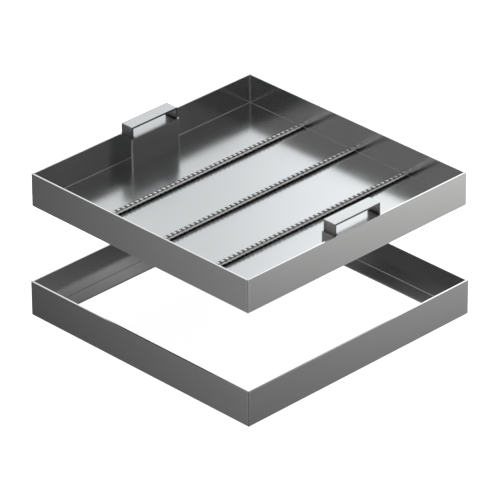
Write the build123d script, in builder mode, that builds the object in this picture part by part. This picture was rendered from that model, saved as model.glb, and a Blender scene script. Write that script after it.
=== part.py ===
# Recessed paving cover: a square tray with pull-up handles over a mitred angle frame.
# Millimetres. The origin is the centre of the frame's underside, with +Z up.
# The front is -Y and the left is -X. The tray is shown lifted straight up out of its frame.
import os

from build123d import *

os.makedirs("parts", exist_ok=True)

# Frame: four lengths of angle, mitred and welded
frame_size = 600.0
frame_height = 74.0
angle_thickness = 4.0
ledge_width = 32.5
angle_root_radius = 1.2

# Tray: four mitred walls round a floor plate
tray_side_gap = 1.0
wall_thickness = 4.0
floor_thickness = 4.0
floor_clearance = 4.0
lift_height = 241.0

# Ribbed bars that key the paving bed to the floor
bar_count = 3
bar_spacing = 142.0
bar_core_diameter = 9.0
bar_flats = 12
bar_end_gap = 1.0
rib_height = 0.7
rib_pitch = 12.0
rib_foot = 6.0

# Handle pockets: folded sheet, standing on the floor against the front and back walls
pocket_length = 128.0
pocket_depth = 33.5
pocket_sheet = 2.0
pocket_bend_radius = 0.6
bridge_thickness = 3.0

# Handles: strap bent to a U with in-turned feet
handle_rise = 24.0
handle_thickness = 4.0
handle_end_gap = 1.0
handle_face_gap = 0.75
handle_inner_bend = 0.5
handle_outer_bend = 1.2
foot_length = 11.0
leg_gap = 3.5
stop_gap = 0.3

# Small rounding on long edges, and the flat cut on sawn edges
edge_break = 0.4
corner_break = 0.8
strap_break = 0.8

# Places that follow from the sizes above
frame_outer = frame_size / 2
frame_inner = frame_outer - angle_thickness
ledge_inner = frame_inner - ledge_width
tray_outer = frame_inner - tray_side_gap
tray_inner = tray_outer - wall_thickness
tray_height = frame_height - angle_thickness
tray_bottom = lift_height
tray_rim = tray_bottom + tray_height
floor_bottom = tray_bottom + floor_clearance
floor_top = floor_bottom + floor_thickness
pocket_face = tray_inner - pocket_depth
pocket_inner_face = pocket_face + pocket_sheet
handle_end = pocket_length / 2 - pocket_sheet - handle_end_gap
handle_leg_inside = handle_end - handle_thickness
handle_depth = tray_inner - pocket_inner_face - 2 * handle_face_gap
handle_middle = (tray_inner + pocket_inner_face) / 2
handle_top = tray_rim + handle_rise
bridge_bottom = tray_rim - bridge_thickness
foot_top = bridge_bottom - stop_gap
foot_bottom = foot_top - handle_thickness

# Turn of each side about the vertical, from the front side
sides = {"front": 0, "right": 90, "back": 180, "left": 270}
handle_sides = {"front": -1, "back": 1}


def keep(builder, name):
    # Name the finished piece and write it
    builder.part.label = name
    export_step(builder.part, "parts/" + name + ".step")


def mitred_length(name, section, turn, root=None):
    # A section of (distance from the middle, height) points, carried along one side of a
    # square and cut at 45 degrees at both ends. The outer edge of each mitre is cut flat,
    # so that two lengths meet in a fine V groove down the corner
    out = Vector(0, -1, 0).rotate(Axis.Z, turn)
    outer = section[0][0]
    section_plane = Plane((0, 0, 0), x_dir=out, z_dir=out.cross(Vector(0, 0, 1)))
    with BuildPart() as length:
        with BuildSketch(section_plane) as profile:
            with BuildLine():
                Polyline(*section, close=True)
            make_face()
            if root:
                inner_corner = profile.vertices().sort_by_distance(root)[0]
                outer_corners = profile.vertices().sort_by_distance(root)[1:]
                fillet(inner_corner, angle_root_radius)
                fillet([v for v in profile.vertices() for w in outer_corners
                        if (v.center() - w.center()).length < edge_break / 2], edge_break)
            else:
                fillet(profile.vertices(), edge_break)
        extrude(amount=frame_size, both=True)
        for lean in (-45, 45):
            mitre = out.rotate(Axis.Z, lean)
            split(bisect_by=Plane((0, 0, 0), z_dir=mitre), keep=Keep.TOP)
            groove_edge = out * outer + out.rotate(Axis.Z, -2 * lean) * (outer - corner_break)
            split(bisect_by=Plane(groove_edge, z_dir=mitre - out), keep=Keep.TOP)
    keep(length, name)


def frame_angle(side, turn):
    # The outer leg stands up round the tray and the ledge turns inwards under it
    section = [(frame_outer, 0), (frame_outer, frame_height), (frame_inner, frame_height),
               (frame_inner, angle_thickness), (ledge_inner, angle_thickness), (ledge_inner, 0)]
    mitred_length("frame_angle_" + side, section, turn, (frame_inner, angle_thickness))


def tray_wall(side, turn):
    # A flat wall that stands on the ledge when the tray is lowered, flush with the frame
    section = [(tray_outer, tray_bottom), (tray_outer, tray_rim),
               (tray_inner, tray_rim), (tray_inner, tray_bottom)]
    mitred_length("tray_wall_" + side, section, turn)


def tray_floor():
    # The floor plate is set up inside the walls, clear of the ledge
    with BuildPart() as plate:
        with BuildSketch(Plane.XY.offset(floor_bottom)):
            Rectangle(2 * tray_inner, 2 * tray_inner)
        extrude(amount=floor_thickness)
    keep(plate, "tray_floor")


def key_bar(number, across):
    # A ribbed bar with a twelve-sided section, lying on the floor from wall to wall.
    # Each rib slopes down on both sides from a ridge, so the sections only grow and shrink
    half_length = tray_inner - bar_end_gap
    core = bar_core_diameter / 2
    crest = core + rib_height
    rib_count = int((2 * half_length - rib_foot) / rib_pitch)
    stations = [(-half_length, core)]
    for i in range(rib_count):
        ridge = (i - (rib_count - 1) / 2) * rib_pitch
        stations += [(ridge - rib_foot / 2, core), (ridge, crest), (ridge + rib_foot / 2, core)]
    stations.append((half_length, core))
    middle = Plane((0, across, floor_top + crest), x_dir=(0, 1, 0), z_dir=(1, 0, 0))
    with BuildPart() as bar:
        for distance, flat_distance in stations:
            with BuildSketch(middle.offset(distance)):
                RegularPolygon(flat_distance, bar_flats, major_radius=False, rotation=180 / bar_flats)
        loft(ruled=True)
    keep(bar, "key_bar_" + str(number))


def handle_pocket(side, sign):
    # Front and two ends folded from one sheet, open at the back where the tray wall closes it
    half = pocket_length / 2
    with BuildPart() as pocket:
        with BuildSketch(Plane.XY.offset(floor_top)):
            with BuildLine():
                ring = FilletPolyline((-half, sign * tray_inner), (-half, sign * pocket_face),
                                      (half, sign * pocket_face), (half, sign * tray_inner),
                                      radius=pocket_bend_radius + pocket_sheet)
                Line(ring @ 1, ring @ 0)
            make_face()
            inside = half - pocket_sheet
            with BuildLine():
                hollow = FilletPolyline((-inside, sign * tray_inner), (-inside, sign * pocket_inner_face),
                                        (inside, sign * pocket_inner_face), (inside, sign * tray_inner),
                                        radius=pocket_bend_radius)
                Line(hollow @ 1, hollow @ 0)
            make_face(mode=Mode.SUBTRACT)
        extrude(amount=tray_rim - floor_top)
    keep(pocket, "handle_pocket_" + side)


def pocket_bridge(side, sign):
    # The plate between the handle's legs, which closes the pocket and stops the feet
    length = 2 * (handle_leg_inside - leg_gap)
    depth = tray_inner - pocket_inner_face
    with BuildPart() as bridge:
        with BuildSketch(Plane.XY.offset(bridge_bottom)):
            with Locations((0, sign * (tray_inner - depth / 2))):
                Rectangle(length, depth)
        extrude(amount=bridge_thickness)
    keep(bridge, "pocket_bridge_" + side)


def pull_handle(side, sign):
    # Strap bent down at both ends, through the pocket's slots, with the feet turned in below
    foot_tip = handle_leg_inside - foot_length
    underside = handle_top - handle_thickness
    outline = [(foot_tip, foot_bottom), (handle_end, foot_bottom), (handle_end, handle_top),
               (-handle_end, handle_top), (-handle_end, foot_bottom), (-foot_tip, foot_bottom),
               (-foot_tip, foot_top), (-handle_leg_inside, foot_top), (-handle_leg_inside, underside),
               (handle_leg_inside, underside), (handle_leg_inside, foot_top), (foot_tip, foot_top)]
    outer_bends = [(x, z) for x in (-handle_end, handle_end) for z in (foot_bottom, handle_top)]
    inner_bends = [(x, z) for x in (-handle_leg_inside, handle_leg_inside) for z in (foot_top, underside)]
    with BuildPart() as handle:
        with BuildSketch(Plane.XZ.offset(-sign * handle_middle)) as strap:
            with BuildLine():
                Polyline(*outline, close=True)
            make_face()
            corners = strap.vertices()
            fillet([corners.sort_by_distance(place)[0] for place in inner_bends], handle_inner_bend)
            corners = strap.vertices()
            fillet([corners.sort_by_distance(place)[0] for place in outer_bends], handle_outer_bend)
        extrude(amount=handle_depth / 2, both=True)
        flat_sides = handle.faces().filter_by(Axis.Y)
        chamfer(flat_sides.edges(), strap_break)
    keep(handle, "pull_handle_" + side)


for side_name, side_turn in sides.items():
    frame_angle(side_name, side_turn)
    tray_wall(side_name, side_turn)

tray_floor()

for bar_number in range(bar_count):
    key_bar(bar_number + 1, (bar_number - (bar_count - 1) / 2) * bar_spacing)

for side_name, side_sign in handle_sides.items():
    handle_pocket(side_name, side_sign)
    pocket_bridge(side_name, side_sign)
    pull_handle(side_name, side_sign)
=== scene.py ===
import math

import bpy
import numpy as np
from mathutils import Matrix, Vector


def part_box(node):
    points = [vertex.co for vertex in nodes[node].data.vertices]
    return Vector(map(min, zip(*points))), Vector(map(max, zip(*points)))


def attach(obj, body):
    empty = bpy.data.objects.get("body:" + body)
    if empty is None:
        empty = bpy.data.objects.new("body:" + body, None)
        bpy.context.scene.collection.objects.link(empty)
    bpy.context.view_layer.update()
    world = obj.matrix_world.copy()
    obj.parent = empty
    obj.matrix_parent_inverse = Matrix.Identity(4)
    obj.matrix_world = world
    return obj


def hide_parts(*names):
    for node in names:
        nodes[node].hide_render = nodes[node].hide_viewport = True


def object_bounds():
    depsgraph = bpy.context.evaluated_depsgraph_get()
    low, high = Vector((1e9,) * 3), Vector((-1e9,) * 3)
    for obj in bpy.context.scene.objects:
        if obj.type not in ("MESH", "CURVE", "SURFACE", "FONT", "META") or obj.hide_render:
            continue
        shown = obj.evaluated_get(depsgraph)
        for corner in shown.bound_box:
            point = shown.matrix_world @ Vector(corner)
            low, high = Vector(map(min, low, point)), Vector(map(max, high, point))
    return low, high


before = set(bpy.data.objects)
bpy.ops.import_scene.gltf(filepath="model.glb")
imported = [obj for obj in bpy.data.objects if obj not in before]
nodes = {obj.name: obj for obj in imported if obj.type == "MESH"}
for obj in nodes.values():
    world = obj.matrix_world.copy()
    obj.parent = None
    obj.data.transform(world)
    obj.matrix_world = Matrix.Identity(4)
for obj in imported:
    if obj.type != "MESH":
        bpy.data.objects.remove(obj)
cadLow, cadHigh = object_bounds()
root = "tray_and_frame"


def straightGrid(uCount, vCount, surface):
    # A grid of (u, v) from 0 to 1, sent through surface(u, v) -> x, y, z, with a quad between
    # each four neighbours
    u, v = np.meshgrid(np.linspace(0, 1, uCount + 1), np.linspace(0, 1, vCount + 1), indexing="ij")
    points = np.stack(surface(u, v), axis=-1).reshape(-1, 3)
    i, j = np.meshgrid(np.arange(uCount), np.arange(vCount), indexing="ij")
    first = (i * (vCount + 1) + j).ravel()
    quads = np.stack([first, first + vCount + 1, first + vCount + 2, first + 1], axis=1)
    return points, quads.tolist()


def discGrid(radius, height, sides):
    # The distance from the middle is radius * u, and the turn is a full circle * v
    def disc(u, v):
        r = radius * u
        return r * np.cos(2 * np.pi * v), r * np.sin(2 * np.pi * v), height + 0 * u

    return straightGrid(1, sides, disc)


def meshObject(name, points, faces):
    mesh = bpy.data.meshes.new(name)
    mesh.from_pydata(points.tolist(), [], faces)
    mesh.polygons.foreach_set("use_smooth", np.full(len(mesh.polygons), True))
    made = bpy.data.objects.new(name, mesh)
    bpy.context.scene.collection.objects.link(made)
    return made


def pointValues(made, label, values):
    # One number per point, which a material reads by its label
    layer = made.data.attributes.new(label, "FLOAT", "POINT")
    layer.data.foreach_set("value", values.ravel().astype(np.float32))


# Camera: a long lens, low over one corner of the frame

cameraView = {
    "azimuth": -44.534,      # degrees, 0 looks along +Y
    "elevation": 29.252,
    "roll": -0.389,
    "distance": 9.487,
    "lens": 353.7,           # mm, as is the sensor's width
    "sensor": 36.0,
    "aim": (0.0, -0.0015, 0.1426),
}


def makeCamera(view):
    az, el, roll = (math.radians(view[k]) for k in ("azimuth", "elevation", "roll"))
    back = Vector((math.sin(az) * math.cos(el), -math.cos(az) * math.cos(el), math.sin(el)))
    level = Vector((math.cos(az), math.sin(az), 0))
    upright = back.cross(level)
    right = level * math.cos(roll) + upright * math.sin(roll)
    up = upright * math.cos(roll) - level * math.sin(roll)
    data = bpy.data.cameras.new("camera")
    data.lens = view["lens"]
    data.sensor_width = view["sensor"]
    made = bpy.data.objects.new("camera", data)
    place = Vector(view["aim"]) + back * view["distance"]
    made.matrix_world = Matrix.Translation(place) @ Matrix((right, up, back)).transposed().to_4x4()
    bpy.context.scene.collection.objects.link(made)
    bpy.context.scene.camera = made


makeCamera(cameraView)
print("camera is up")


# Studio: white floor and world, a soft lamp, and grey cards that only the steel sees

studio = {
    "floorRadius": 40.0,
    "floorSides": 64,
    "floorColour": (0.93, 0.93, 0.93, 1),
    "floorGlow": 0.87,       # share of the white that no shadow touches
    "worldLight": 0.30,
    "cardCells": 160,        # along each side of a level card
    "cardReach": 4.0,        # m, half the width of the card on the floor
    "cardHeight": 0.0006,
    "cardMiddle": 0.209,     # brightness under the object's middle
    "cardTilt": (0.245, -0.138),     # brighter per metre along x and along y
    "cardFront": (0.06, 0.78),       # added per metre in front of the frame, and more with x
    "cardLeft": (0.67, -0.24),       # added per metre to its left, and less with y
    "cardLeast": 0.05,
    "cardMost": 0.75,
    "darkTint": (1.0, 0.985, 0.975, 1),
    "backTint": (0.955, 0.985, 1.0, 1),
    "wellReach": 0.262,      # m, half the width of the darker card inside the frame
    "wellHeight": 0.0012,
    "wellMiddle": 0.048,
    "wellTilt": (-0.25, 0.09),
    "wellLeast": 0.055,
    "underDrop": 0.0015,     # m from the tray's underside down to the card below it
    "underMiddle": 0.19,
    "underTilt": 1.2,        # brighter per metre along x, and darker along y
    "underLeast": 0.02,
    "underMost": 0.6,
    "roundSteps": 48,        # along each flag and round the card overhead
    "flagRadius": 2.6,
    "flagTop": 3.4,
    "flags": ((-82, 7, 0.088), (188, 262, 0.055), (83, 172, 0.21)),  # degrees from +X, grey
    "ceilingHeight": 3.4,
    "ceilingRadius": 2.0,
    "ceilingGrey": 0.32,
    "backDistance": 1.25,    # m to the card that lights the tray's floor
    "backReach": 1.0,        # m, half its width
    "backHeights": (0.45, 1.9),
    "backCells": (80, 4),
    "backMiddle": 0.985,
    "backSpread": 0.36,      # how much brighter its right end is
    "backWidth": 0.3,        # m from its middle over which most of that happens
    "backLeast": 0.875,      # brightness that its left part keeps
}


def feed(tree, entry, value):
    # A socket is linked to the entry, and a plain value is set on it
    if isinstance(value, bpy.types.NodeSocket):
        tree.links.new(value, entry)
    else:
        entry.default_value = value


def mathNode(tree, operation, *values):
    node = tree.nodes.new("ShaderNodeMath")
    node.operation = operation
    for entry, value in zip(node.inputs, values):
        feed(tree, entry, value)
    return node.outputs[0]


def emptyMaterial(name):
    material = bpy.data.materials.new(name)
    material.use_nodes = True
    material.node_tree.nodes.clear()
    return material, material.node_tree


def seenByEye(tree):
    # 1 for the rays that see the background directly, in a mirror or through glass
    path = tree.nodes.new("ShaderNodeLightPath")
    some = mathNode(tree, "MAXIMUM", path.outputs["Is Camera Ray"], path.outputs["Is Glossy Ray"])
    return mathNode(tree, "MAXIMUM", some, path.outputs["Is Transmission Ray"])


def makeWorld():
    world = bpy.data.worlds.new("studio")
    world.use_nodes = True
    tree = world.node_tree
    tree.nodes.clear()
    light = tree.nodes.new("ShaderNodeBackground")
    light.inputs["Strength"].default_value = studio["worldLight"]
    white = tree.nodes.new("ShaderNodeBackground")
    white.inputs["Color"].default_value = (1, 1, 1, 1)
    white.inputs["Strength"].default_value = 1.0
    pick = tree.nodes.new("ShaderNodeMixShader")
    out = tree.nodes.new("ShaderNodeOutputWorld")
    tree.links.new(seenByEye(tree), pick.inputs[0])
    tree.links.new(light.outputs[0], pick.inputs[1])
    tree.links.new(white.outputs[0], pick.inputs[2])
    tree.links.new(pick.outputs[0], out.inputs[0])
    bpy.context.scene.world = world


def makeFloor():
    floor = meshObject("floor", *discGrid(studio["floorRadius"], 0, studio["floorSides"]))
    material, tree = emptyMaterial("paleFloor")
    matt = tree.nodes.new("ShaderNodeBsdfDiffuse")
    matt.inputs["Color"].default_value = studio["floorColour"]
    glow = tree.nodes.new("ShaderNodeEmission")
    both = tree.nodes.new("ShaderNodeAddShader")
    out = tree.nodes.new("ShaderNodeOutputMaterial")
    level = mathNode(tree, "MULTIPLY", seenByEye(tree), studio["floorGlow"])
    tree.links.new(level, glow.inputs["Strength"])
    tree.links.new(matt.outputs[0], both.inputs[0])
    tree.links.new(glow.outputs[0], both.inputs[1])
    tree.links.new(both.outputs[0], out.inputs[0])
    floor.data.materials.append(material)


def onlyForSteel(card):
    card.visible_camera = False
    card.visible_diffuse = False
    card.visible_shadow = False
    card.visible_transmission = False


def glowingCard(name, points, quads, grey, tint):
    # A card whose brightness is an attribute of its points
    card = meshObject(name, points, quads)
    pointValues(card, "grey", np.broadcast_to(grey, len(points)))
    material, tree = emptyMaterial(name)
    read = tree.nodes.new("ShaderNodeAttribute")
    read.attribute_name = "grey"
    glow = tree.nodes.new("ShaderNodeEmission")
    glow.inputs["Color"].default_value = tint
    out = tree.nodes.new("ShaderNodeOutputMaterial")
    tree.links.new(read.outputs["Fac"], glow.inputs["Strength"])
    tree.links.new(glow.outputs[0], out.inputs[0])
    card.data.materials.append(material)
    onlyForSteel(card)


def levelCard(name, reach, height, shade, least, most):
    # A level square with x and y across it, as bright as shade(x, y) between two limits
    points, quads = straightGrid(studio["cardCells"], studio["cardCells"], lambda u, v: (
        reach * (2 * u - 1), reach * (2 * v - 1), height + 0 * u))
    grey = shade(points[:, 0], points[:, 1]).clip(least, most)
    glowingCard(name, points, quads, grey, studio["darkTint"])


def makeFloorCards():
    # The wide card gets brighter beyond the frame's front and left sides, at a slope that
    # depends on the place along that side. The next one lies inside the frame, and the last
    # hangs just below the tray and lights the frame's ledge
    front, left = studio["cardFront"], studio["cardLeft"]
    tilt, wellTilt = studio["cardTilt"], studio["wellTilt"]

    def wide(x, y):
        inFront = np.maximum(0, front[0] + front[1] * x) * np.maximum(0, -y - cadHigh.y)
        toLeft = np.maximum(0, left[0] + left[1] * y) * np.maximum(0, -x - cadHigh.x)
        return studio["cardMiddle"] + tilt[0] * x + tilt[1] * y + (inFront + toLeft)

    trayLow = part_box("tray_wall_right")[0]
    levelCard("floorCard", studio["cardReach"], studio["cardHeight"], wide,
              studio["cardLeast"], studio["cardMost"])
    levelCard("wellCard", studio["wellReach"], studio["wellHeight"],
              lambda x, y: studio["wellMiddle"] + wellTilt[0] * x + wellTilt[1] * y,
              studio["wellLeast"], studio["cardMost"])
    levelCard("underCard", trayLow.x, trayLow.z - studio["underDrop"],
              lambda x, y: studio["underMiddle"] + studio["underTilt"] * (x - y),
              studio["underLeast"], studio["underMost"])


def makeFlags():
    # Upright grey cards, each a stretch of a round wall between two directions, and a round
    # card overhead
    for number, (begin, end, grey) in enumerate(studio["flags"]):
        def bent(u, v):
            turn = np.radians(begin + (end - begin) * u)
            r = studio["flagRadius"]
            return r * np.cos(turn), r * np.sin(turn), studio["flagTop"] * v

        points, quads = straightGrid(studio["roundSteps"], 1, bent)
        glowingCard("flag%d" % number, points, quads, grey, studio["darkTint"])

    points, quads = discGrid(studio["ceilingRadius"], studio["ceilingHeight"], studio["roundSteps"])
    glowingCard("ceilingCard", points, quads, studio["ceilingGrey"], studio["darkTint"])


def makeBackCard():
    # Upright behind the tray and facing the camera. The brightness is the middle's plus a
    # spread * tanh of the distance to the right, and never less than a limit
    low, high = studio["backHeights"]
    diagonal = math.sqrt(0.5)

    def upright(u, v):
        side = studio["backReach"] * (2 * u - 1)
        x = (studio["backDistance"] + side) * diagonal
        y = (studio["backDistance"] - side) * diagonal
        return x, y, low + (high - low) * v

    points, quads = straightGrid(*studio["backCells"], upright)
    side = (points[:, 0] - points[:, 1]) * diagonal
    grey = studio["backMiddle"] + studio["backSpread"] * np.tanh(side / studio["backWidth"])
    glowingCard("backCard", points, quads, grey.clip(studio["backLeast"]), studio["backTint"])


lamp = {"place": (1.2, 0.6, 3.2), "size": 2.4, "power": 70.0}


def makeLamp():
    data = bpy.data.lights.new("overheadLamp", "AREA")
    data.shape = "SQUARE"
    data.size = lamp["size"]
    data.energy = lamp["power"]
    made = bpy.data.objects.new("overheadLamp", data)
    made.location = lamp["place"]
    made.rotation_mode = "QUATERNION"
    made.rotation_quaternion = Vector(lamp["place"]).to_track_quat("Z", "Y")
    made.visible_camera = False
    made.visible_glossy = False
    bpy.context.scene.collection.objects.link(made)


makeWorld()
makeFloor()
makeFloorCards()
makeFlags()
makeBackCard()
makeLamp()
print("studio is lit")


# Steel finishes: shared groups first, then one material for each finish and grain

wear = {
    "grainDetail": 3.0,
    "streakScale": 0.18,     # of the broad streaks, where the fine scratches have 1
    "streakDetail": 2.0,
    "streakDulling": 0.5,    # share of the streaks that shows in the colour
    "patchDetail": 4.0,
    "patchRange": (0.45, 0.72),      # noise at which a patch begins and is full
    "speckScale": 900.0,
    "speckDetail": 2.0,
    "speckRange": (0.64, 0.74),
    "rimReach": 0.0005,      # m above and below the rim's level
    "seamReach": (0.0005, 0.0010),   # m from the mitre where its dark line is full and ends
    "seamSideReach": (0.0025, 0.0050),
}


def noiseNode(tree, place, scale, detail):
    node = tree.nodes.new("ShaderNodeTexNoise")
    for label, value in (("Vector", place), ("Scale", scale), ("Detail", detail)):
        feed(tree, node.inputs[label], value)
    return node.outputs["Fac"]


def rangeNode(tree, value, none, full):
    # 0 at the first limit, 1 at the second, and no less or more beyond them
    node = tree.nodes.new("ShaderNodeMapRange")
    for label, given in (("Value", value), ("From Min", none), ("From Max", full)):
        feed(tree, node.inputs[label], given)
    return node.outputs["Result"]


def mixNode(tree, dataType, share, first, second):
    node = tree.nodes.new("ShaderNodeMix")
    node.data_type = dataType
    for label, value in (("Factor", share), ("A", first), ("B", second)):
        feed(tree, node.inputs[label], value)
    return node.outputs["Result"]


def newGroup(name, inputs, outputs):
    group = bpy.data.node_groups.new(name, "ShaderNodeTree")
    for label, kind, value in inputs:
        group.interface.new_socket(label, in_out="INPUT", socket_type=kind).default_value = value
    for label, kind in outputs:
        group.interface.new_socket(label, in_out="OUTPUT", socket_type=kind)
    return group, group.nodes.new("NodeGroupInput"), group.nodes.new("NodeGroupOutput")


def makeGrainGroup():
    # Fine scratches along the grain: noise in a stretched place, once narrow and once broad
    group, entry, leave = newGroup(
        "brushedGrain",
        [("Place", "NodeSocketVector", (0, 0, 0)), ("Stretch", "NodeSocketVector", (1, 1, 1))],
        [("Height", "NodeSocketFloat"), ("Streak", "NodeSocketFloat")])
    scaled = group.nodes.new("ShaderNodeVectorMath")
    scaled.operation = "MULTIPLY"
    group.links.new(entry.outputs["Place"], scaled.inputs[0])
    group.links.new(entry.outputs["Stretch"], scaled.inputs[1])
    for label, scale, detail in (("Height", 1.0, wear["grainDetail"]),
                                 ("Streak", wear["streakScale"], wear["streakDetail"])):
        group.links.new(noiseNode(group, scaled.outputs[0], scale, detail), leave.inputs[label])
    return group


def makeMarkGroup():
    # Soft patches where hands and rain have dulled the steel, and specks of mortar dust
    group, entry, leave = newGroup(
        "handlingMarks",
        [("Place", "NodeSocketVector", (0, 0, 0)), ("Size", "NodeSocketFloat", 12.0)],
        [("Patch", "NodeSocketFloat"), ("Speck", "NodeSocketFloat")])
    for label, scale, detail, limits in (
            ("Patch", entry.outputs["Size"], wear["patchDetail"], wear["patchRange"]),
            ("Speck", wear["speckScale"], wear["speckDetail"], wear["speckRange"])):
        noise = noiseNode(group, entry.outputs["Place"], scale, detail)
        group.links.new(rangeNode(group, noise, *limits), leave.inputs[label])
    return group


def makeEdgeGroup():
    # Rim: the level top faces. Seam: the line down each mitre, where x and y are
    # equally far out; the third mask is the strip beside it. Rims and strips take a painted
    # highlight
    group, entry, leave = newGroup(
        "rimsAndSeams",
        [("Place", "NodeSocketVector", (0, 0, 0))],
        [("Rim", "NodeSocketFloat"), ("Seam", "NodeSocketFloat"), ("SeamSide", "NodeSocketFloat")])
    axes = group.nodes.new("ShaderNodeSeparateXYZ")
    group.links.new(entry.outputs["Place"], axes.inputs[0])
    rims = [mathNode(group, "COMPARE", axes.outputs["Z"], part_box(name)[1].z, wear["rimReach"])
            for name in ("tray_wall_front", "frame_angle_front")]
    group.links.new(mathNode(group, "MAXIMUM", *rims), leave.inputs["Rim"])
    farOut = [mathNode(group, "ABSOLUTE", axes.outputs[axis]) for axis in ("X", "Y")]
    away = mathNode(group, "ABSOLUTE", mathNode(group, "SUBTRACT", *farOut))
    for label, (near, far) in (("Seam", wear["seamReach"]), ("SeamSide", wear["seamSideReach"])):
        group.links.new(rangeNode(group, away, far, near), leave.inputs[label])
    return group


brushedGrain = makeGrainGroup()
handlingMarks = makeMarkGroup()
rimsAndSeams = makeEdgeGroup()

plateSteel = {
    "colour": (0.722, 0.728, 0.731, 1), "dull": (0.66, 0.665, 0.667, 1), "metal": 1.0,
    "roughness": 0.18, "streaks": 0.03, "dulling": 0.05, "grainDepth": 0.000002, "markSize": 7.0,
}
sheetSteel = {
    "colour": (0.745, 0.752, 0.755, 1), "dull": (0.60, 0.605, 0.607, 1), "metal": 1.0,
    "roughness": 0.18, "streaks": 0.04, "dulling": 0.05, "grainDepth": 0.000002, "markSize": 7.0,
}
handleSteel = {
    "colour": (0.762, 0.768, 0.770, 1), "dull": (0.60, 0.605, 0.607, 1), "metal": 0.8,
    "roughness": 0.20, "streaks": 0.04, "dulling": 0.05, "grainDepth": 0.000002, "markSize": 30.0,
}
barSteel = {
    "colour": (0.76, 0.762, 0.763, 1), "dull": (0.62, 0.62, 0.62, 1), "metal": 0.7,
    "roughness": 0.14, "streaks": 0.02, "dulling": 0.05, "grainDepth": 0.000002, "markSize": 60.0,
}
weldSteel = {
    "colour": (0.54, 0.54, 0.54, 1), "dull": (0.42, 0.415, 0.41, 1), "metal": 0.4,
    "roughness": 0.50, "streaks": 0.04, "dulling": 0.08, "grainDepth": 0.000003, "markSize": 90.0,
}
# Pale colour on the beads along the frame's ledge, a painted highlight along the bend
ledgeLineHighlight = {
    "colour": (0.95, 0.95, 0.95, 1), "dull": (0.85, 0.85, 0.85, 1), "metal": 0.45,
    "roughness": 0.30, "streaks": 0.04, "dulling": 0.05, "grainDepth": 0.000002, "markSize": 90.0,
}
# Painted highlights on the rims' level tops and on the strips beside each mitre; the dark seam line
# is a joint
rimHighlight = {"colour": (0.93, 0.935, 0.94, 1), "roughness": 0.12, "metal": 1.0}
seamSideHighlight = {"colour": (0.82, 0.825, 0.828, 1), "roughness": 0.24, "metal": 1.0}
darkSeam = {"colour": (0.20, 0.20, 0.20, 1), "roughness": 0.45, "metal": 1.0}
# Dark colour for the strap's edges, and painted shade on the handle legs inside the pocket
edgeDarkAndPocketShade = {"colour": (0.17, 0.168, 0.165, 1), "roughness": 0.42, "metal": 1.0}
# Painted shade and painted dark reflections for the key bars
barPaintedShade = {"colour": (0.055, 0.054, 0.053, 1), "roughness": 0.42, "metal": 0.8}
# Painted highlight for the stripe along each side of the key bars
ridgeHighlightFinish = {"colour": (0.95, 0.95, 0.95, 1), "roughness": 0.55, "metal": 0.0}
grainAlong = {"x": (9.0, 1900.0, 1900.0), "y": (1900.0, 9.0, 1900.0), "z": (1900.0, 1900.0, 9.0)}
shaderEntries = {"colour": "Base Color", "roughness": "Roughness", "metal": "Metallic"}


def makeSteel(name, look, grain, edges=False, attributes=()):
    # Edges adds the painted highlights on rims and beside seams and the seams' dark line, and
    # attributes lists point values and what they lay over the steel
    material = bpy.data.materials.new(name)
    material.use_nodes = True
    tree = material.node_tree
    links = tree.links
    shader = tree.nodes["Principled BSDF"]
    shader.inputs["Metallic"].default_value = look["metal"]
    place = tree.nodes.new("ShaderNodeTexCoord").outputs["Object"]
    scratches = tree.nodes.new("ShaderNodeGroup")
    scratches.node_tree = brushedGrain
    scratches.inputs["Stretch"].default_value = grainAlong[grain]
    marks = tree.nodes.new("ShaderNodeGroup")
    marks.node_tree = handlingMarks
    marks.inputs["Size"].default_value = look["markSize"]
    for node in (scratches, marks):
        links.new(place, node.inputs["Place"])
    streak = scratches.outputs["Streak"]
    # Colour: the clean steel, duller under specks and broad streaks
    worn = mathNode(tree, "MULTIPLY_ADD", streak, wear["streakDulling"], marks.outputs["Speck"])
    colour = mixNode(tree, "RGBA", worn, look["colour"], look["dull"])
    # Roughness: the finish, rougher in patches and along the streaks
    least = look["roughness"] - look["streaks"] / 2
    dulled = mathNode(tree, "MULTIPLY_ADD", marks.outputs["Patch"], look["dulling"], least)
    rough = mathNode(tree, "MULTIPLY_ADD", streak, look["streaks"], dulled)
    # Other finishes, painted highlights and painted shade laid over the first by their masks
    layers = []
    if edges:
        found = tree.nodes.new("ShaderNodeGroup")
        found.node_tree = rimsAndSeams
        links.new(place, found.inputs["Place"])
        layers += [(found.outputs["SeamSide"], seamSideHighlight), (found.outputs["Rim"], rimHighlight),
                   (found.outputs["Seam"], darkSeam)]
    for attribute, over in attributes:
        read = tree.nodes.new("ShaderNodeAttribute")
        read.attribute_name = attribute
        layers.append((read.outputs["Fac"], over))
    now = {"colour": colour, "roughness": rough, "metal": look["metal"]}
    for mask, over in layers:
        for kind, before in now.items():
            if before != over[kind]:
                dataType = "RGBA" if kind == "colour" else "FLOAT"
                now[kind] = mixNode(tree, dataType, mask, before, over[kind])
    for kind, entry in shaderEntries.items():
        feed(tree, shader.inputs[entry], now[kind])
    bump = tree.nodes.new("ShaderNodeBump")
    bump.inputs["Distance"].default_value = look["grainDepth"]
    links.new(scratches.outputs["Height"], bump.inputs["Height"])
    links.new(bump.outputs["Normal"], shader.inputs["Normal"])
    return material


plateFinish = makeSteel("plateSteel", plateSteel, "x")
wallAlongX = makeSteel("wallSteelAlongX", sheetSteel, "x", edges=True)
wallAlongY = makeSteel("wallSteelAlongY", sheetSteel, "y", edges=True)
# The handle's edges are darkened, with painted shade on its legs inside the pocket
handleFinish = makeSteel("handleSteel", handleSteel, "x", attributes=[("edgeDarkAndShade", edgeDarkAndPocketShade)])
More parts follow.
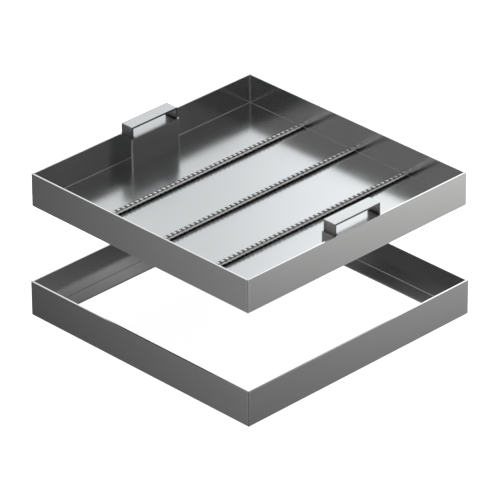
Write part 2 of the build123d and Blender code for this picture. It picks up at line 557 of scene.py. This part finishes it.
# The key bars' point values paint a highlight stripe, and shade and dark reflections
barFinish = makeSteel("barSteel", barSteel, "x",
                      attributes=[("sideHighlight", ridgeHighlightFinish), ("scale", barPaintedShade)])
weldFinish = makeSteel("weldSteel", weldSteel, "z")
ledgeLineHighlightFinish = makeSteel("ledgeLineHighlight", ledgeLineHighlight, "z")

for name, node in nodes.items():
    node.data.materials.clear()
    if name.startswith(("tray_wall", "frame_angle")):
        node.data.materials.append(wallAlongY if name.endswith(("left", "right")) else wallAlongX)
    else:
        node.data.materials.append(plateFinish)
print("steel finishes are made")


def closedTube(rings, turned=False):
    # Rings of points (count, around, 3) joined into a tube, with a flat face on each end.
    # Faces are turned where the rings run the other way round, so that they point outwards
    count, around = rings.shape[:2]
    i, j = np.meshgrid(np.arange(count - 1), np.arange(around), indexing="ij")
    here, ahead, step = i * around, (i + 1) * around, (j + 1) % around
    quads = np.stack([here + j, here + step, ahead + step, ahead + j], axis=-1)
    faces = quads.reshape(-1, 4).tolist()
    faces.append(list(range(around))[::-1])
    faces.append(list(range((count - 1) * around, count * around)))
    return rings.reshape(-1, 3), [face[::-1] for face in faces] if turned else faces


def solidPiece(name, parts, material, body):
    # One object from several closed tubes
    points, faces, start = [], [], 0
    for partPoints, partFaces in parts:
        points.append(partPoints)
        faces += [[corner + start for corner in face] for face in partFaces]
        start += len(partPoints)
    made = meshObject(name, np.concatenate(points), faces)
    made.data.materials.append(material)
    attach(made, body)
    return made


# Key bars: rows of ribs above and below, between two ridges that run the length of the bar

keyBar = {
    "grow": 0.0004,          # m of radius added to the plain bar's
    "ribPitch": 0.012,
    "ribFoot": 0.0072,       # m along the bar that a rib takes in all
    "ribFlank": 0.0011,      # m of it that each steep flank takes
    "ribHeight": 0.0010,
    "ribSteps": 5,           # per flank
    "support": 0.0004,       # m from a rib's foot to the next ring
    "ridgeWidth": 0.0007,
    "around": 64,
    "crowd": 0.33,           # how much the points round the bar crowd towards the ridges
    "endBreak": 0.0006,
    "shadeRise": (0.10, 0.35),       # share of a rib's height where its painted dark begins and is full
    "shadeTurns": (62, 54),          # degrees from the top where that painted dark begins and is full
    "underShadeTurns": (118, 132),        # degrees from the top where the painted shade on the underside does
    "highlightTurn": 78,                  # degrees from the top to the middle of the painted highlight stripe
    "highlightWidth": 18,
}


def fadeIn(values, begin, full):
    # 0 where the values begin, 1 where they are full, and straight between
    return ((values - begin) / (full - begin)).clip(0, 1)


def makeKeyBar(name):
    # Radius = core + rib height * the greater of (rib along x) * (1 - sin^4 of the turn) and
    # the ridge, a bell curve round the turn
    low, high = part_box(name)
    crest = (high.z - low.z) / 2 + keyBar["grow"]
    core = crest - keyBar["ribHeight"]
    half = high.x
    count = int((2 * half - keyBar["ribFoot"]) / keyBar["ribPitch"])
    middles = (np.arange(count) - (count - 1) / 2) * keyBar["ribPitch"]
    climb = np.linspace(0, 1, keyBar["ribSteps"] + 1)
    flank = keyBar["ribFoot"] / 2 - keyBar["ribFlank"] * climb
    ends = keyBar["ribFoot"] / 2 + keyBar["support"]
    across = np.concatenate([[-ends], -flank, flank[::-1], [ends]])
    rise = 0.5 - 0.5 * np.cos(np.pi * climb)
    rise = np.concatenate([[0], rise, rise[::-1], [0]])
    x = (middles[:, None] + across).ravel()
    x = np.concatenate([[-half, keyBar["endBreak"] - half], x, [half - keyBar["endBreak"], half]])
    rib = np.concatenate([[0, 0], np.tile(rise, count), [0, 0]])
    scaled = np.concatenate([[0, 0], np.tile(rise * (across < flank[-1]), count), [0, 0]])
    even = np.linspace(0, 2 * np.pi, keyBar["around"], endpoint=False)
    turn = even + keyBar["crowd"] * np.sin(2 * even)
    ridge = np.exp(-(core * (np.arccos(abs(np.cos(turn))) - np.pi / 2) / keyBar["ridgeWidth"]) ** 2)
    swell = np.maximum(rib[:, None] * (1 - np.sin(turn) ** 4), ridge)
    radius = core + keyBar["ribHeight"] * swell
    radius[[0, -1]] -= keyBar["endBreak"]
    rings = np.stack([
        np.repeat(x[:, None], len(turn), axis=1),
        (low.y + high.y) / 2 - radius * np.sin(turn),
        low.z + crest + radius * np.cos(turn)], axis=-1)
    bar = solidPiece(name + "_ribbed", [closedTube(rings)], barFinish, root)
    # Painted shade on the underside and painted dark reflections on the ribs' left flanks, from
    # where they fade out across their tops, and a painted highlight stripe along each side
    fromTop = np.degrees(np.arccos(np.cos(turn)))
    ribbed = fadeIn(scaled, *keyBar["shadeRise"])[:, None] * fadeIn(fromTop, *keyBar["shadeTurns"])
    scale = np.maximum(ribbed, fadeIn(fromTop, *keyBar["underShadeTurns"]))
    sideHighlight = np.exp(-((fromTop - keyBar["highlightTurn"]) / keyBar["highlightWidth"]) ** 4)
    pointValues(bar, "scale", scale)
    pointValues(bar, "sideHighlight", np.broadcast_to(sideHighlight, scale.shape))
    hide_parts(name)


for name in nodes:
    if name.startswith("key_bar"):
        makeKeyBar(name)
print("key bars are made")


# Handles: a strap with rounded edges, carried round a U with in-turned feet

handleStrap = {
    "thickness": 0.004,
    "footLength": 0.011,
    "outerBend": 0.0012,
    "innerBend": 0.0005,
    "edgeRound": 0.0006,
    "edgeSteps": 6,
    "bendSteps": 8,
    "support": 0.0003,       # m from a bend or edge to the points that keep the flats flat
    "edgeDarkening": 0.92,     # how dark the strap's edges get
    "pocketShadeFade": 0.0012,      # m below the tray's rim over which the painted shade on the legs comes in
}


def roundedCorners(corners, radius, look):
    # Each inner corner becomes an arc, with a supporting point before and after it
    path = [corners[0]]
    for before, corner, after in zip(corners[:-2], corners[1:-1], corners[2:]):
        back = (before - corner) / np.linalg.norm(before - corner)
        ahead = (after - corner) / np.linalg.norm(after - corner)
        middle = corner + radius * (back + ahead)
        turn = np.linspace(0, np.pi / 2, look["bendSteps"] + 1)[:, None]
        path.append(corner + (radius + look["support"]) * back)
        path += list(middle - radius * (ahead * np.cos(turn) + back * np.sin(turn)))
        path.append(corner + (radius + look["support"]) * ahead)
    path.append(corners[-1])
    return np.array(path)


def strapSection(half, look):
    # Rounded rectangle as (side, distance from that side, place across the strap). The two
    # sides stop short of the middle, so that the strip between them has a width everywhere
    r = look["edgeRound"]
    turn = np.linspace(0, np.pi / 2, look["edgeSteps"] + 1)
    arcIn, arcAcross = r - r * np.sin(turn), half - r + r * np.cos(turn)
    inward = np.concatenate([[look["thickness"] / 2 - look["support"]], arcIn, [0]])
    across = np.concatenate([[half], arcAcross, [half - r - look["support"]]])
    side = np.concatenate([np.zeros(2 * len(inward)), np.ones(2 * len(inward))])
    inward = np.concatenate([inward, inward[::-1], inward, inward[::-1]])
    across = np.concatenate([across, -across[::-1], -across, across[::-1]])
    return side, inward, across


def makeHandle(name, body):
    # Two lines run side by side round the U, one outside and one inside. Each pair of their
    # points carries a ring of the section, half of it measured from either line
    low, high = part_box(name)
    x, t = high.x, handleStrap["thickness"]
    tip = x - t - handleStrap["footLength"]
    middleY, half = (low.y + high.y) / 2, (high.y - low.y) / 2
    outer = [(tip, low.z), (x, low.z), (x, high.z), (-x, high.z), (-x, low.z), (-tip, low.z)]
    inner = [(tip, low.z + t), (x - t, low.z + t), (x - t, high.z - t),
             (t - x, high.z - t), (t - x, low.z + t), (-tip, low.z + t)]
    outside = roundedCorners(np.array(outer), handleStrap["outerBend"], handleStrap)
    inside = roundedCorners(np.array(inner), handleStrap["innerBend"], handleStrap)
    through = inside - outside
    through /= np.linalg.norm(through, axis=1)[:, None]
    side, inward, across = strapSection(half, handleStrap)
    fromOutside = outside[:, None] + through[:, None] * inward[None, :, None]
    fromInside = inside[:, None] - through[:, None] * inward[None, :, None]
    xz = np.where(side[None, :, None] == 0, fromOutside, fromInside)
    y = np.broadcast_to(middleY + across, xz.shape[:2])
    rings = np.stack([xz[..., 0], y, xz[..., 1]], axis=-1)
    tube = closedTube(rings, turned=True)
    strap = solidPiece(name + "_strap", [tube], handleFinish, body)
    # Darker on the strap's edges, and painted shade where the legs stay inside the pocket
    onEdge = abs(across) > half - handleStrap["edgeRound"] / 2
    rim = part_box("tray_wall_front")[1].z
    pocketShade = ((rim - rings[..., 2]) / handleStrap["pocketShadeFade"]).clip(0, 1)
    pointValues(strap, "edgeDarkAndShade", np.maximum(handleStrap["edgeDarkening"] * onEdge, pocketShade))
    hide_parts(name)


makeHandle("pull_handle_front", "front_handle")
makeHandle("pull_handle_back", "back_handle")
print("handles are made")


# Weld beads: a fillet with fine ripples along the inside corners of the tray and frame

weldBead = {
    "floorLeg": 0.0009,      # m along each of the two faces
    "cornerLeg": 0.0009,
    "ledgeLeg": 0.0009,
    "belly": 0.10,           # how far the face bulges, as a share of the leg
    "sink": 0.0003,          # m that the bead reaches into the steel behind it
    "ripple": 0.0016,        # m from one ripple to the next
    "rippleDepth": 0.035,    # share of the leg
    "perRipple": 4,
    "faceSteps": 6,
    "bow": 0.0006,           # m that each ripple runs ahead in its middle
}


def fillet(start, end, first, second, leg):
    # The section runs from one face to the other along a bulged line, then back behind the
    # corner, and the leg swells and shrinks with a cosine along the bead
    start, end, first, second = (np.array(v, float) for v in (start, end, first, second))
    along = end - start
    length = np.linalg.norm(along)
    along /= length
    count = max(2, int(length / weldBead["ripple"] * weldBead["perRipple"]))
    s = np.linspace(0, length, count + 1)[:, None]
    u = np.linspace(0, 1, weldBead["faceSteps"] + 1)
    wave = np.cos(2 * np.pi * s / weldBead["ripple"])
    swell = 1 + weldBead["rippleDepth"] * wave * np.sin(np.pi * u)
    bulge = weldBead["belly"] * np.sin(np.pi * u)
    a, b = leg * swell * ((1 - u) + bulge), leg * swell * (u + bulge)
    sink = np.full((len(s), 1), -weldBead["sink"])
    a = np.concatenate([a, sink, sink, a[:, :1]], axis=1)
    b = np.concatenate([b, b[:, -1:], sink, sink], axis=1)
    lead = np.concatenate([weldBead["bow"] * np.sin(np.pi * u), np.zeros(3)])
    inside = (s + lead).clip(0, length)
    rings = start + along * inside[..., None] + first * a[..., None] + second * b[..., None]
    turned = np.dot(np.cross(first, second), along) < 0
    return closedTube(rings, turned)


def makeWelds():
    # The frame's angle is as thick as the tray's sheet. A corner bead ends just below the rim
    wallLow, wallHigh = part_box("tray_wall_right")
    inner, wallTop = wallLow.x, wallHigh.z - weldBead["sink"]
    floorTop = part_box("tray_floor")[1].z
    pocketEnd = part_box("handle_pocket_back")[1].x
    frameLow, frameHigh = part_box("frame_angle_right")
    sheet = wallHigh.x - wallLow.x
    face, ledge = frameHigh.x - sheet, frameLow.z + sheet
    frameTop = frameHigh.z - weldBead["sink"]
    up = (0, 0, 1)
    floorLeg, cornerLeg, ledgeLeg = (weldBead[k] for k in ("floorLeg", "cornerLeg", "ledgeLeg"))
    trayRuns, frameRuns, rootRuns = [], [], []
    for sign in (-1, 1):
        # The tray's floor beads run right along the side walls, and beside the pockets on the
        # front and back walls
        offSide, offEnd = (-sign, 0, 0), (0, -sign, 0)
        trayRuns.append(fillet((sign * inner, -inner, floorTop), (sign * inner, inner, floorTop),
                               offSide, up, floorLeg))
        rootRuns.append(fillet((sign * face, -face, ledge), (sign * face, face, ledge),
                               offSide, up, ledgeLeg))
        rootRuns.append(fillet((-face, sign * face, ledge), (face, sign * face, ledge),
                               offEnd, up, ledgeLeg))
        for turn in (-1, 1):
            corner, frameCorner = (turn * inner, sign * inner), (turn * face, sign * face)
            trayRuns.append(fillet((turn * pocketEnd, sign * inner, floorTop), (*corner, floorTop),
                                   offEnd, up, floorLeg))
            trayRuns.append(fillet((*corner, floorTop), (*corner, wallTop),
                                   (-turn, 0, 0), offEnd, cornerLeg))
            frameRuns.append(fillet((*frameCorner, ledge), (*frameCorner, frameTop),
                                    (-turn, 0, 0), offEnd, cornerLeg))
    solidPiece("tray_beads", trayRuns, weldFinish, root)
    solidPiece("frame_beads", frameRuns, weldFinish, root)
    # The beads along the frame's ledge carry a painted highlight
    solidPiece("frame_roots", rootRuns, ledgeLineHighlightFinish, root)


makeWelds()
print("welds are made")

bpy.context.scene.view_settings.view_transform = "Standard"
